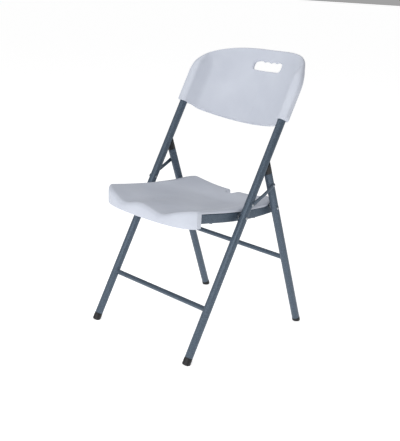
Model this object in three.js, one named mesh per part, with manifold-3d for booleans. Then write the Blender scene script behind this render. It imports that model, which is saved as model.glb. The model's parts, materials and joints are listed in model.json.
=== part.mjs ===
// Folding chair: a steel tube frame with a moulded plastic seat and back rest.
// Millimetres, +Z up, +X to the sitter's left, +Y backwards; origin on the floor under the middle.
import * as THREE from "three";
import { mergeVertices } from "three/addons/utils/BufferGeometryUtils.js";
import Module from "manifold-3d";

// Driving dimensions
const GAP = 0.3; // between pieces that touch
const LEG_X = 215; // leg axes, left and right of the middle
const TUBE_R = 12.5;
const TUBE_WALL = 1.2;
const TUBE_SIDES = 24;
const FRONT_FOOT_Y = -284.8; // where the front leg axis meets the floor
const REAR_FOOT_Y = FRONT_FOOT_Y + 515.8;
const FRONT_LEAN = THREE.MathUtils.degToRad(27.9); // from upright, top backwards
const REAR_LEAN = THREE.MathUtils.degToRad(20.08); // from upright, top forwards
const FRONT_LEG_TOP = 930; // along the leg, inside the back panel
const REAR_LEG_TOP = 573.5;
const FRONT_FOOT_TOP = 22;
const REAR_FOOT_TOP = 14;
const FRONT_RUNG = { at: 172.4, radius: 8 };
const REAR_RUNG = { at: 257.5, radius: 7.8 };
const RUNG_WALL = 1.2;

// Pivots, as distances along the legs
const SEAT_PIVOT = 468.7; // seat rail on front leg
const LINK_PIVOT = 512.6; // link on front leg
const REAR_PIVOT = 449.8; // seat rail on rear leg
const LINK_END = 531.9; // link on rear leg

// Seat
const RAIL_INNER = 176;
const RAIL_OUTER = 194;
const RAIL_HALF_HEIGHT = 15.5;
const RAIL_WALL = 1.2;
const RAIL_START = 55.5; // behind the front foot line
const RAIL_END = 388;
const SEAT_HALF_WIDTH = 200;
const SEAT_THICKNESS = 14;
const APRON_BOTTOM = 411;
const APRON_THICKNESS = 13;
const FRONT_ROUND = 17; // radius of the seat's rounded front edge
const SEAT_REAR = 412;
const NOTCH = { halfWidth: 15, bottom: 380, mouth: 11 };
const CROSS_TUBE = { y: 66, z: 420, radius: 7 };
const SEAT_SCREW_Y = [110, 300];

// Back panel, in the plane of the front legs
const BACK_BOTTOM = 783;
const BACK_TOP = 1042;
const BACK_HALF_WIDTH = 237.5;
const BACK_DEPTH = 92; // how far the middle is bowed backwards
const BACK_THICKNESS = 13;
const BACK_BOW_END = { x: 203, depth: 9 }; // where the bowed sheet turns into its flange
const BACK_FLANGE_DEPTH = -7; // the flange's front face, at the outer edge
const SLEEVE = { radius: 16.5, outward: 21.5, domeAt: 930, domeRise: 22 };
const SKIN = 2.4; // wall of the hollow moulded panels
const SLOT = { halfWidth: 59, bottom: 965, top: 996, corner: 9, scallop: 4 };
const BACK_SCREW_AT = [812, 902];

// Links: bowed strips outside the legs
const LINK = { inner: 227.8, outer: 229.8, endHalf: 6.9, waistHalf: 5.9, bow: 1.8, rib: 0.7 };
const SIDES = { right: -1, left: 1 };

const wasm = await Module();
wasm.setup();

// A closed geometry as a solid that can be cut and joined.
function solid(geometry) {
  const bare = geometry.clone();
  bare.deleteAttribute("normal");
  bare.deleteAttribute("uv");
  const merged = mergeVertices(bare, 1e-4);
  return new wasm.Manifold(
    new wasm.Mesh({
      numProp: 3,
      vertProperties: merged.attributes.position.array,
      triVerts: new Uint32Array(merged.index.array),
    }),
  );
}

function geometryOf(body) {
  const { vertProperties, triVerts } = body.getMesh();
  const geometry = new THREE.BufferGeometry();
  geometry.setAttribute("position", new THREE.BufferAttribute(vertProperties, 3));
  geometry.setIndex(new THREE.BufferAttribute(triVerts, 1));
  const faceted = geometry.toNonIndexed();
  faceted.computeVertexNormals();
  return faceted;
}

// A profile of [radius, height] points turned about the Z axis.
function turned(profile, sides = TUBE_SIDES) {
  const points = profile.map(([r, z]) => new THREE.Vector2(r, z));
  return new THREE.LatheGeometry(points, sides).rotateX(Math.PI / 2);
}

function ring(outer, inner, from, to, sides = TUBE_SIDES) {
  const profile = [[inner, from], [outer, from], [outer, to], [inner, to], [inner, from]];
  return turned(profile, sides);
}

function rod(radius, from, to, sides = 12) {
  return turned([[0, from], [radius, from], [radius, to], [0, to]], sides);
}

// Turns a shape made along Z so that it lies along X, at a place in the YZ plane.
function across(geometry, y = 0, z = 0) {
  return geometry.rotateY(Math.PI / 2).translate(0, y, z);
}

// A shape drawn in the YZ plane, extruded from one X to another.
function sideProfile(shape, fromX, toX) {
  const geometry = new THREE.ExtrudeGeometry(shape, {
    depth: toX - fromX,
    bevelEnabled: false,
    curveSegments: 8,
  });
  const turn = new THREE.Matrix4().makeBasis(
    new THREE.Vector3(0, 1, 0),
    new THREE.Vector3(0, 0, 1),
    new THREE.Vector3(1, 0, 0),
  );
  return geometry.applyMatrix4(turn).translate(fromX, 0, 0);
}

// A shape drawn in the XZ plane, extruded from one Y to another.
function frontProfile(shape, fromY, toY, curveSegments = 8) {
  const depth = toY - fromY;
  const options = { depth, bevelEnabled: false, curveSegments };
  return new THREE.ExtrudeGeometry(shape, options).rotateX(Math.PI / 2).translate(0, toY, 0);
}

// A shape drawn in the XY plane, extruded from one Z to another.
function planProfile(shape, fromZ, toZ, curveSegments = 8) {
  const depth = toZ - fromZ;
  const options = { depth, bevelEnabled: false, curveSegments };
  return new THREE.ExtrudeGeometry(shape, options).translate(0, 0, fromZ);
}

const steelPaint = new THREE.MeshStandardMaterial({ color: 0x66727f, roughness: 0.4, metalness: 0.3 });
const blackPlastic = new THREE.MeshStandardMaterial({ color: 0x1b1c20, roughness: 0.6 });
const palePlastic = new THREE.MeshStandardMaterial({ color: 0xc9ccd6, roughness: 0.55 });
const bareSteel = new THREE.MeshStandardMaterial({ color: 0xa9adb2, roughness: 0.3, metalness: 1 });

function piece(name, geometry, material, parent) {
  const mesh = new THREE.Mesh(geometry, material);
  mesh.name = name;
  parent.add(mesh);
  return mesh;
}

// The frames that the pieces are drawn in
const chair = new THREE.Group();
const frontFrame = new THREE.Group(); // Z along the front legs, Y square to them
frontFrame.position.y = FRONT_FOOT_Y;
frontFrame.rotation.x = -FRONT_LEAN;
const rearFrame = new THREE.Group(); // Z along the rear legs
rearFrame.position.y = REAR_FOOT_Y;
rearFrame.rotation.x = REAR_LEAN;
const seatFrame = new THREE.Group(); // level, Y from the front foot line
seatFrame.position.y = FRONT_FOOT_Y;
chair.add(frontFrame, rearFrame, seatFrame);
chair.updateMatrixWorld(true);

// A point on a leg's axis, in the seat's level frame.
function onLeg(frame, along) {
  return seatFrame.worldToLocal(frame.localToWorld(new THREE.Vector3(0, 0, along)));
}

const seatPivot = onLeg(frontFrame, SEAT_PIVOT);
const linkPivot = onLeg(frontFrame, LINK_PIVOT);
const rearPivot = onLeg(rearFrame, REAR_PIVOT);
const linkEnd = onLeg(rearFrame, LINK_END);

// A straight leg tube with its cross holes, about its own axis.
function legTube(bottom, top, crossHoles, screwHoles) {
  let tube = solid(ring(TUBE_R, TUBE_R - TUBE_WALL, bottom, top));
  for (const [at, radius] of crossHoles) {
    tube = tube.subtract(solid(across(rod(radius, -20, 20), 0, at)));
  }
  for (const at of screwHoles) {
    const hole = rod(2.5, 4, 20, 8).rotateX(-Math.PI / 2).translate(0, 0, at);
    tube = tube.subtract(solid(hole));
  }
  return geometryOf(tube);
}

// A tube across the chair whose ends are shaped to the legs.
function rung(radius, at) {
  let tube = solid(across(ring(radius, radius - RUNG_WALL, -LEG_X, LEG_X, 16), 0, at));
  for (const side of Object.values(SIDES)) {
    const leg = rod(TUBE_R + GAP, at - 30, at + 30, TUBE_SIDES).translate(side * LEG_X, 0, 0);
    tube = tube.subtract(solid(leg));
  }
  return geometryOf(tube);
}

// A plug with a spigot in the tube and a round-edged head, cut flat by the floor.
function foot(top, lean) {
  const radius = TUBE_R + 0.5;
  const spigot = TUBE_R - TUBE_WALL - GAP;
  const low = -2;
  const edge = [[0, low], [radius - 4, low], [radius - 1.2, low + 1.2], [radius, low + 4]];
  const profile = [...edge, [radius, top - GAP], [spigot, top - GAP], [spigot, top + 16], [0, top + 16]];
  const floor = new THREE.BoxGeometry(80, 80, 80).translate(0, 0, -40).rotateX(lean);
  return geometryOf(solid(turned(profile)).subtract(solid(floor)));
}

// A rivet across the chair: domed outer head, shank and flat inner head, for the left side.
function rivet({ shank, head, from, grip, to }) {
  const profile = [
    [0, from],
    [head, from],
    [head, grip[0]],
    [shank, grip[0]],
    [shank, grip[1]],
    [head, grip[1]],
    [head, to - 1.2],
    [head * 0.6, to],
    [0, to],
  ];
  return across(turned(profile, 12));
}

// The left-hand shape, drawn on +X, or its reflection in X for the right side.
function mirrored(geometry, side) {
  if (side > 0) return geometry.clone();
  const flipped = geometry.index ? geometry.toNonIndexed() : geometry.clone();
  flipped.scale(-1, 1, 1);
  const position = flipped.attributes.position;
  for (let i = 0; i < position.count; i += 3) {
    const x = position.getX(i);
    const y = position.getY(i);
    const z = position.getZ(i);
    position.setXYZ(i, position.getX(i + 1), position.getY(i + 1), position.getZ(i + 1));
    position.setXYZ(i + 1, x, y, z);
  }
  flipped.deleteAttribute("uv");
  flipped.computeVertexNormals();
  return flipped;
}

// Front legs, their rung and feet

const SHANK = { pivot: 3.5, link: 3 };
const frontLeg = legTube(
  FRONT_FOOT_TOP,
  FRONT_LEG_TOP,
  [[SEAT_PIVOT, SHANK.pivot + GAP], [LINK_PIVOT, SHANK.link + GAP]],
  BACK_SCREW_AT,
);
const frontFoot = foot(FRONT_FOOT_TOP, FRONT_LEAN);
for (const [name, side] of Object.entries(SIDES)) {
  piece("front_leg_" + name, frontLeg, steelPaint, frontFrame).position.x = side * LEG_X;
  piece("front_foot_" + name, frontFoot, blackPlastic, frontFrame).position.x = side * LEG_X;
}
piece("front_rung", rung(FRONT_RUNG.radius, FRONT_RUNG.at), steelPaint, frontFrame);

// Back panel: a hollow bowed sheet with a sleeve at each side, trimmed to its outline.
// Each shape takes an inset: none for the outside of the panel, the skin's thickness for its hollow.

function backSheet(inset) {
  const { x, depth } = BACK_BOW_END;
  const rise = BACK_DEPTH - depth;
  const radius = (x * x + rise * rise) / (2 * rise);
  const centre = BACK_DEPTH - radius;
  const reach = Math.asin(x / radius);
  const middle = Math.PI / 2;
  const front = radius + inset;
  const back = radius + BACK_THICKNESS - inset;
  const sheet = new THREE.Shape();
  sheet.absarc(0, centre, back, middle - reach, middle + reach, false);
  sheet.lineTo(-BACK_HALF_WIDTH - 5, BACK_FLANGE_DEPTH + BACK_THICKNESS - inset);
  sheet.lineTo(-BACK_HALF_WIDTH - 5, BACK_FLANGE_DEPTH + inset);
  sheet.absarc(0, centre, front, middle + reach, middle - reach, true);
  sheet.lineTo(BACK_HALF_WIDTH + 5, BACK_FLANGE_DEPTH + inset);
  sheet.lineTo(BACK_HALF_WIDTH + 5, BACK_FLANGE_DEPTH + BACK_THICKNESS - inset);
  sheet.closePath();
  return planProfile(sheet, BACK_BOTTOM - 20, BACK_TOP + 20, 28);
}

function sleeve(side, inset) {
  const radius = SLEEVE.radius - inset;
  const outward = SLEEVE.outward - inset;
  const section = new THREE.Shape();
  section.absellipse(0, 0, outward, radius, -Math.PI / 2, Math.PI / 2, false);
  section.absellipse(0, 0, radius, radius, Math.PI / 2, Math.PI * 1.5, false);
  const prism = planProfile(section, BACK_BOTTOM - 20, SLEEVE.domeAt + SLEEVE.domeRise);
  const dome = new THREE.Shape();
  dome.absellipse(0, SLEEVE.domeAt, outward + 3, SLEEVE.domeRise - inset, 0, Math.PI, false);
  dome.lineTo(-outward - 3, BACK_BOTTOM - 30);
  dome.lineTo(outward + 3, BACK_BOTTOM - 30);
  dome.closePath();
  const rounded = solid(prism).intersect(solid(frontProfile(dome, -30, 30)));
  const placed = geometryOf(rounded);
  return (side > 0 ? placed : placed.rotateZ(Math.PI)).translate(side * LEG_X, 0, 0);
}

function backOutline(inset) {
  const half = BACK_HALF_WIDTH - inset;
  const bottom = BACK_BOTTOM + inset;
  const top = BACK_TOP - inset;
  const corner = 12;
  const outline = new THREE.Shape();
  outline.moveTo(-half, bottom + corner);
  outline.quadraticCurveTo(-half, bottom + 2, -half + corner, bottom + 1);
  outline.quadraticCurveTo(0, bottom - 4, half - corner, bottom + 1);
  outline.quadraticCurveTo(half, bottom + 2, half, bottom + corner);
  outline.lineTo(half, 892);
  outline.bezierCurveTo(half, 947, 198 - inset, 1007 - inset, 125, 1026 - inset);
  outline.bezierCurveTo(85, top - 5, 42, top, 0, top);
  outline.bezierCurveTo(-42, top, -85, top - 5, -125, 1026 - inset);
  outline.bezierCurveTo(inset - 198, 1007 - inset, -half, 947, -half, 892);
  outline.closePath();
  return frontProfile(outline, -40, 130, 10);
}

// The hand slot: a round-cornered hole whose top edge has four finger scallops.
function handSlot(inset) {
  const halfWidth = SLOT.halfWidth + inset;
  const bottom = SLOT.bottom - inset;
  const top = SLOT.top + inset;
  const corner = SLOT.corner;
  const slot = new THREE.Shape();
  slot.moveTo(-halfWidth + corner, bottom);
  slot.lineTo(halfWidth - corner, bottom);
  slot.quadraticCurveTo(halfWidth, bottom, halfWidth, bottom + corner);
  slot.lineTo(halfWidth, top - corner);
  slot.quadraticCurveTo(halfWidth, top, halfWidth - corner, top);
  const fingers = 4;
  const step = (2 * (halfWidth - corner)) / fingers;
  for (let i = 0; i < fingers; i += 1) {
    const start = halfWidth - corner - i * step;
    slot.quadraticCurveTo(start - step / 2, top + 2 * SLOT.scallop, start - step, top);
  }
  slot.quadraticCurveTo(-halfWidth, top, -halfWidth, top - corner);
  slot.lineTo(-halfWidth, bottom + corner);
  slot.quadraticCurveTo(-halfWidth, bottom, -halfWidth + corner, bottom);
  return frontProfile(slot, 40, 130, 4);
}

function backBody(inset) {
  let body = solid(backSheet(inset));
  for (const side of Object.values(SIDES)) body = body.add(solid(sleeve(side, inset)));
  body = body.intersect(solid(backOutline(inset))).subtract(solid(handSlot(inset)));
  for (const side of Object.values(SIDES)) {
    const bore = rod(TUBE_R + GAP + inset, BACK_BOTTOM - 40, FRONT_LEG_TOP + GAP + inset, TUBE_SIDES);
    body = body.subtract(solid(bore.translate(side * LEG_X, 0, 0)));
  }
  return body;
}

function backPanel() {
  const hollow = backBody(SKIN).decompose().sort((a, b) => b.volume() - a.volume())[0];
  let panel = backBody(0).subtract(hollow);
  for (const side of Object.values(SIDES)) {
    for (const at of BACK_SCREW_AT) {
      const hole = solid(rod(2.8, 6, 30, 8)).add(solid(rod(5, SLEEVE.radius - 0.8, 30)));
      const placed = geometryOf(hole).rotateX(-Math.PI / 2).translate(side * LEG_X, 0, at);
      panel = panel.subtract(solid(placed));
    }
  }
  const blowHole = across(rod(3, -6, 6, 8)).rotateZ(Math.PI / 2);
  blowHole.translate(0, BACK_DEPTH + 10, BACK_BOTTOM + 40);
  return geometryOf(panel.subtract(solid(blowHole)));
}
piece("back_panel", backPanel(), palePlastic, frontFrame);

const screwHead = SLEEVE.radius - 0.8 + GAP;
const backScrewProfile = [
  [0, 7],
  [2.2, 7],
  [2.2, screwHead],
  [4.5, screwHead],
  [4.5, screwHead + 1.4],
  [2.6, screwHead + 2.2],
  [0, screwHead + 2.2],
];
const backScrew = turned(backScrewProfile, 12).rotateX(-Math.PI / 2);
let backScrews = 0;
for (const side of Object.values(SIDES)) {
  for (const at of BACK_SCREW_AT) {
    backScrews += 1;
    const screw = piece("back_screw_" + backScrews, backScrew, bareSteel, frontFrame);
    screw.position.set(side * LEG_X, 0, at);
  }
}

// Rivets and spacers on the front legs

const legFace = LEG_X + TUBE_R;
const seatRivet = rivet({
  shank: SHANK.pivot,
  head: 5.5,
  from: RAIL_INNER - GAP - 2.4,
  grip: [RAIL_INNER - GAP, legFace + GAP],
  to: legFace + GAP + 2.7,
});
const linkRivet = rivet({
  shank: SHANK.link,
  head: 4.75,
  from: LEG_X - TUBE_R - 1.8,
  grip: [LEG_X - TUBE_R - GAP, LINK.outer + LINK.rib + GAP],
  to: LINK.outer + LINK.rib + GAP + 2.2,
});
const spacerFrom = RAIL_OUTER + GAP;
const spacerTo = LEG_X - TUBE_R - GAP;
const seatSpacer = across(ring(8, SHANK.pivot + GAP, spacerFrom, spacerTo, 16));
const rearSpacer = across(ring(5.7, SHANK.pivot + GAP, spacerFrom, spacerTo, 16));
for (const [name, side] of Object.entries(SIDES)) {
  const onFront = [
    ["seat_pivot_rivet_", seatRivet, SEAT_PIVOT],
    ["seat_pivot_spacer_", seatSpacer, SEAT_PIVOT],
    ["link_front_rivet_", linkRivet, LINK_PIVOT],
  ];
  for (const [label, geometry, at] of onFront) {
    piece(label + name, mirrored(geometry, side), bareSteel, frontFrame).position.z = at;
  }
}

// Seat rails and cross tube

// Height of a rail's centre line: it sags towards the back of the seat.
const railLine = new THREE.SplineCurve([
  new THREE.Vector2(20, 438.6),
  new THREE.Vector2(90, 429),
  new THREE.Vector2(156, 420.2),
  new THREE.Vector2(225, 413),
  new THREE.Vector2(300, 410),
  new THREE.Vector2(400, 414.5),
]);

function railShape(from, to, above, below) {
  const line = railLine.getPoints(60).filter((p) => p.x > from && p.x < to);
  const stations = line.filter((p, i) => i % 4 === 0);
  const shape = new THREE.Shape();
  const first = stations[0];
  const last = stations[stations.length - 1];
  shape.moveTo(from, first.y + below - (from - first.x) * 0.13);
  for (const p of stations) shape.lineTo(p.x, p.y + below);
  shape.lineTo(to, last.y + below + (to - last.x) * 0.05);
  shape.lineTo(to, last.y + above + (to - last.x) * 0.05);
  for (const p of [...stations].reverse()) shape.lineTo(p.x, p.y + above);
  shape.lineTo(from, first.y + above - (from - first.x) * 0.13);
  shape.closePath();
  return shape;
}

function railHeight(y) {
  const points = railLine.getPoints(60);
  const next = Math.max(1, points.findIndex((p) => p.x >= y));
  const before = points[next - 1];
  const after = points[next];
  return THREE.MathUtils.mapLinear(y, before.x, after.x, before.y, after.y);
}

function seatRail() {
  const half = RAIL_HALF_HEIGHT;
  const inside = half - RAIL_WALL;
  const outer = sideProfile(railShape(RAIL_START, RAIL_END, half, -half), RAIL_INNER, RAIL_OUTER);
  const hollow = sideProfile(
    railShape(RAIL_START - 5, RAIL_END + 5, inside, -inside),
    RAIL_INNER + RAIL_WALL,
    RAIL_OUTER - RAIL_WALL,
  );
  let rail = solid(outer).subtract(solid(hollow));
  for (const pivot of [seatPivot, rearPivot]) {
    const hole = across(rod(SHANK.pivot + GAP, 170, 200), pivot.y, pivot.z);
    rail = rail.subtract(solid(hole));
  }
  for (const y of SEAT_SCREW_Y) {
    const hole = rod(2.7, 380, 470, 8).translate((RAIL_INNER + RAIL_OUTER) / 2, y, 0);
    rail = rail.subtract(solid(hole));
  }
  return geometryOf(rail);
}

const rail = seatRail();
for (const [name, side] of Object.entries(SIDES)) {
  piece("seat_rail_" + name, mirrored(rail, side), steelPaint, seatFrame);
}
const { y: crossY, z: crossZ, radius: crossR } = CROSS_TUBE;
const crossEnd = RAIL_INNER - GAP;
const crossTube = across(ring(crossR, crossR - RUNG_WALL, -crossEnd, crossEnd, 16), crossY, crossZ);
piece("seat_cross_tube", crossTube, steelPaint, seatFrame);

// Seat panel

// The front edge in plan: nearly straight in the middle, swept back at the corners.
function frontEdge(x) {
  const u = Math.abs(x) / SEAT_HALF_WIDTH;
  return -9 + 26 * u ** 2.6 + 21 * u ** 9;
}

// How far a value lies between two others, eased at both ends.
function ease(value, from, to) {
  return THREE.MathUtils.smoothstep(value, from, to);
}

// Height of the seat's upper face: a bowl between raised sides, with a dip for each thigh.
function seatTop(x, y) {
  const away = Math.abs(x);
  const crestX = THREE.MathUtils.lerp(193, 160, ease(y, 120, 380));
  const crest = 441 + 18 * (Math.max(0, 230 - y) / 170) ** 1.4 + 4 * ease(y, 290, 390);
  const middle = 412 + 42 * (1 - ease(y, -60, 330)) + 12 * ease(y, 300, 400);
  let height = THREE.MathUtils.lerp(middle, crest, Math.min(1, away / crestX) ** 3);
  height -= 16 * Math.exp(-(((away - 85) / 50) ** 2)) * (1 - ease(y, 0, 210));
  if (away > crestX) height -= 0.0065 * (away - crestX) ** 2;
  const inFromFront = y - frontEdge(x);
  if (inFromFront < FRONT_ROUND) {
    const short = FRONT_ROUND - Math.max(0, inFromFront);
    height -= FRONT_ROUND - Math.sqrt(FRONT_ROUND * FRONT_ROUND - short * short);
  }
  return height;
}

// Distances behind the front edge at which the seat's surface is given: close together on the
// rounded front edge, then evenly to the rear.
const EDGE_ROWS = 5;
const BODY_ROWS = 11;

function rowDistance(row) {
  if (row === 0) return -10;
  const angle = ((row - 1) / EDGE_ROWS) * (Math.PI / 2);
  if (row <= EDGE_ROWS) return FRONT_ROUND * (1 - Math.cos(angle));
  return THREE.MathUtils.lerp(FRONT_ROUND, SEAT_REAR + 20, (row - EDGE_ROWS - 1) / BODY_ROWS);
}

// A block whose upper face follows the seat, lowered by some depth.
function underSeatTop(depth) {
  const columns = 20;
  const rows = EDGE_ROWS + BODY_ROWS + 1;
  const width = 2 * SEAT_HALF_WIDTH + 12;
  const block = new THREE.BoxGeometry(width, rows, 100, columns, rows, 1);
  const position = block.attributes.position;
  for (let i = 0; i < position.count; i += 1) {
    const x = position.getX(i);
    const distance = rowDistance(Math.round(position.getY(i) + rows / 2));
    const y = distance + frontEdge(x) * (1 - ease(distance, 20, 200));
    const top = position.getZ(i) > 0;
    position.setY(i, y);
    position.setZ(i, top ? seatTop(x, y) - depth : 380);
  }
  return block;
}

function seatOutline(inset) {
  const outline = new THREE.Shape();
  const half = SEAT_HALF_WIDTH - inset;
  const rear = SEAT_REAR - inset;
  const notchHalf = NOTCH.halfWidth + inset;
  const notchBottom = NOTCH.bottom - inset;
  const steps = 24;
  outline.moveTo(-half, frontEdge(half) + inset + 8);
  for (let i = 0; i <= steps; i += 1) {
    const x = half * Math.sin((i / steps - 0.5) * Math.PI);
    outline.lineTo(x, frontEdge(x) + inset);
  }
  outline.lineTo(half, 330);
  outline.bezierCurveTo(half, 372 - inset, 176 - inset, 392 - inset, 128, 401 - inset);
  outline.bezierCurveTo(90, 407 - inset, 60, rear, notchHalf + NOTCH.mouth, rear);
  outline.quadraticCurveTo(notchHalf + 2, rear, notchHalf, rear - 12);
  outline.bezierCurveTo(notchHalf - 1, notchBottom, 8, notchBottom, 0, notchBottom);
  outline.bezierCurveTo(-8, notchBottom, 1 - notchHalf, notchBottom, -notchHalf, rear - 12);
  outline.quadraticCurveTo(-notchHalf - 2, rear, -notchHalf - NOTCH.mouth, rear);
  outline.bezierCurveTo(-60, rear, -90, 407 - inset, -128, 401 - inset);
  outline.bezierCurveTo(inset - 176, 392 - inset, -half, 372 - inset, -half, 330);
  outline.closePath();
  return planProfile(outline, 385, 480);
}

// The apron in plan: a strip behind the front edge that returns along the sides.
function apronShape(inset) {
  const half = SEAT_HALF_WIDTH + 2;
  const sideEnd = RAIL_START - 2 * GAP - inset;
  const inner = RAIL_INNER - 4 + inset;
  const steps = 16;
  const shape = new THREE.Shape();
  shape.moveTo(-half, -20);
  shape.lineTo(half, -20);
  shape.lineTo(half, sideEnd);
  shape.lineTo(inner, sideEnd);
  for (let i = 0; i <= steps; i += 1) {
    const x = inner * (1 - (2 * i) / steps);
    shape.lineTo(x, frontEdge(x) + APRON_THICKNESS - inset);
  }
  shape.lineTo(-inner, sideEnd);
  shape.lineTo(-half, sideEnd);
  shape.closePath();
  return planProfile(shape, APRON_BOTTOM + inset, 480);
}

// The seat's shape, or with an inset the hollow inside its skin.
function seatBody(inset) {
  const whole = solid(underSeatTop(inset)).intersect(solid(seatOutline(inset)));
  const under = solid(underSeatTop(SEAT_THICKNESS - inset));
  let body = whole.subtract(under.subtract(solid(apronShape(inset))));
  for (const side of Object.values(SIDES)) {
    const above = RAIL_HALF_HEIGHT + GAP + inset;
    const railCut = railShape(RAIL_START - GAP - inset, RAIL_END + 30, above, -60);
    const cut = sideProfile(railCut, RAIL_INNER - GAP - inset, SEAT_HALF_WIDTH + 10);
    body = body.subtract(solid(mirrored(cut, side)));
    const headRoom = across(rod(7 + inset, 160 - inset, 180), rearPivot.y, rearPivot.z);
    body = body.subtract(solid(mirrored(headRoom, side)));
  }
  const reach = crossEnd + inset;
  const groove = across(rod(crossR + GAP + 0.2 + inset, -reach, reach, 16), crossY, crossZ);
  return body.subtract(solid(groove));
}

function seatPanel() {
  const hollow = seatBody(SKIN).decompose().sort((a, b) => b.volume() - a.volume())[0];
  let panel = seatBody(0).subtract(hollow);
  for (const side of Object.values(SIDES)) {
    for (const y of SEAT_SCREW_Y) {
      const top = railHeight(y) + RAIL_HALF_HEIGHT + 7;
      const hole = rod(2.7, 400, top, 8).translate((side * (RAIL_INNER + RAIL_OUTER)) / 2, y, 0);
      panel = panel.subtract(solid(hole));
    }
  }
  return geometryOf(panel);
}
piece("seat_panel", seatPanel(), palePlastic, seatFrame);

let seatScrews = 0;
for (const side of Object.values(SIDES)) {
  for (const y of SEAT_SCREW_Y) {
    seatScrews += 1;
    const railBottom = railHeight(y) - RAIL_HALF_HEIGHT;
    const head = railBottom - 0.9;
    const tip = railHeight(y) + RAIL_HALF_HEIGHT + 6;
    const profile = [
      [0, head - 2],
      [3, head - 2],
      [4.5, head - 1.2],
      [4.5, head],
      [2.2, head],
      [2.2, tip - 2],
      [0, tip],
    ];
    const screw = piece("seat_screw_" + seatScrews, turned(profile, 12), bareSteel, seatFrame);
    screw.position.set((side * (RAIL_INNER + RAIL_OUTER)) / 2, y, 0);
  }
}

// Rear legs, their rung, feet, top caps and pivots

const rearLeg = legTube(REAR_FOOT_TOP, REAR_LEG_TOP, [[REAR_PIVOT, SHANK.pivot + GAP]], []);
const rearFoot = foot(REAR_FOOT_TOP, -REAR_LEAN);

// A plug in the top of a rear leg, hollowed to lie against the back of the front leg.
function legCap() {
  const radius = TUBE_R + 0.2;
  const spigot = TUBE_R - TUBE_WALL - GAP;
  const start = REAR_LEG_TOP;
  const profile = [[0, start - 20], [spigot, start - 20], [spigot, start + GAP], [radius, start + GAP]];
  const plug = turned([...profile, [radius, start + 70], [0, start + 70]]);
  const toRear = new THREE.Matrix4().copy(rearFrame.matrixWorld).invert();
  toRear.multiply(frontFrame.matrixWorld);
  const frontLegRoom = rod(TUBE_R + 0.8, 500, 800, TUBE_SIDES).applyMatrix4(toRear);
  const ahead = new THREE.BoxGeometry(60, 108, 300).translate(0, -46, 650).applyMatrix4(toRear);
  return geometryOf(solid(plug).subtract(solid(frontLegRoom)).subtract(solid(ahead)));
}
const cap = legCap();
for (const [name, side] of Object.entries(SIDES)) {
  piece("rear_leg_" + name, rearLeg, steelPaint, rearFrame).position.x = side * LEG_X;
  piece("rear_foot_" + name, rearFoot, blackPlastic, rearFrame).position.x = side * LEG_X;
  piece("rear_leg_cap_" + name, cap, blackPlastic, rearFrame).position.x = side * LEG_X;
  const rivetMesh = piece("rear_pivot_rivet_" + name, mirrored(seatRivet, side), bareSteel, rearFrame);
  rivetMesh.position.z = REAR_PIVOT;
  const spacerMesh = piece("rear_pivot_spacer_" + name, mirrored(rearSpacer, side), bareSteel, rearFrame);
  spacerMesh.position.z = REAR_PIVOT;
}
piece("rear_rung", rung(REAR_RUNG.radius, REAR_RUNG.at), steelPaint, rearFrame);

// Links between the legs

const linkFrame = new THREE.Group(); // Z along the links, from their front pivot
const linkLength = linkPivot.distanceTo(linkEnd);
linkFrame.position.copy(linkPivot);
linkFrame.rotation.x = -Math.atan2(linkEnd.y - linkPivot.y, linkEnd.z - linkPivot.z);
seatFrame.add(linkFrame);

// A round-ended strip that bows downwards and narrows to its middle.
function bowedStrip(endHalf, waistHalf, from, to) {
  const strip = new THREE.Shape();
  const halfway = (from + to) / 2;
  strip.absarc(0, from, endHalf, Math.PI, 2 * Math.PI, false);
  strip.quadraticCurveTo(2 * (LINK.bow + waistHalf) - endHalf, halfway, endHalf, to);
  strip.absarc(0, to, endHalf, 0, Math.PI, false);
  strip.quadraticCurveTo(2 * (LINK.bow - waistHalf) + endHalf, halfway, -endHalf, from);
  return strip;
}

function linkPlate() {
  const { inner, outer, endHalf, waistHalf, rib } = LINK;
  const strip = bowedStrip(endHalf, waistHalf, 0, linkLength);
  for (const end of [0, linkLength]) {
    const hole = new THREE.Path();
    hole.absarc(0, end, SHANK.link + GAP, 0, 2 * Math.PI, true);
    strip.holes.push(hole);
  }
  const plate = solid(sideProfile(strip, inner, outer));
  const ridge = sideProfile(bowedStrip(1.8, 1.8, 14, linkLength - 14), outer - 1, outer + rib);
  return geometryOf(plate.add(solid(ridge)));
}

const plate = linkPlate();
const endHead = LINK.outer + LINK.rib + GAP;
const endRivetProfile = [
  [0, LINK.inner],
  [SHANK.link, LINK.inner],
  [SHANK.link, endHead],
  [4.75, endHead],
  [4.75, endHead + 1],
  [2.8, endHead + 2.2],
  [0, endHead + 2.2],
];
const endRivet = across(turned(endRivetProfile, 12));
for (const [name, side] of Object.entries(SIDES)) {
  piece("link_" + name, mirrored(plate, side), steelPaint, linkFrame);
  piece("link_rear_rivet_" + name, mirrored(endRivet, side), bareSteel, linkFrame).position.z = linkLength;
}

export default chair;
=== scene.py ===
import json
import math

import bpy
import numpy as np
from mathutils import Matrix, Vector


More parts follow.
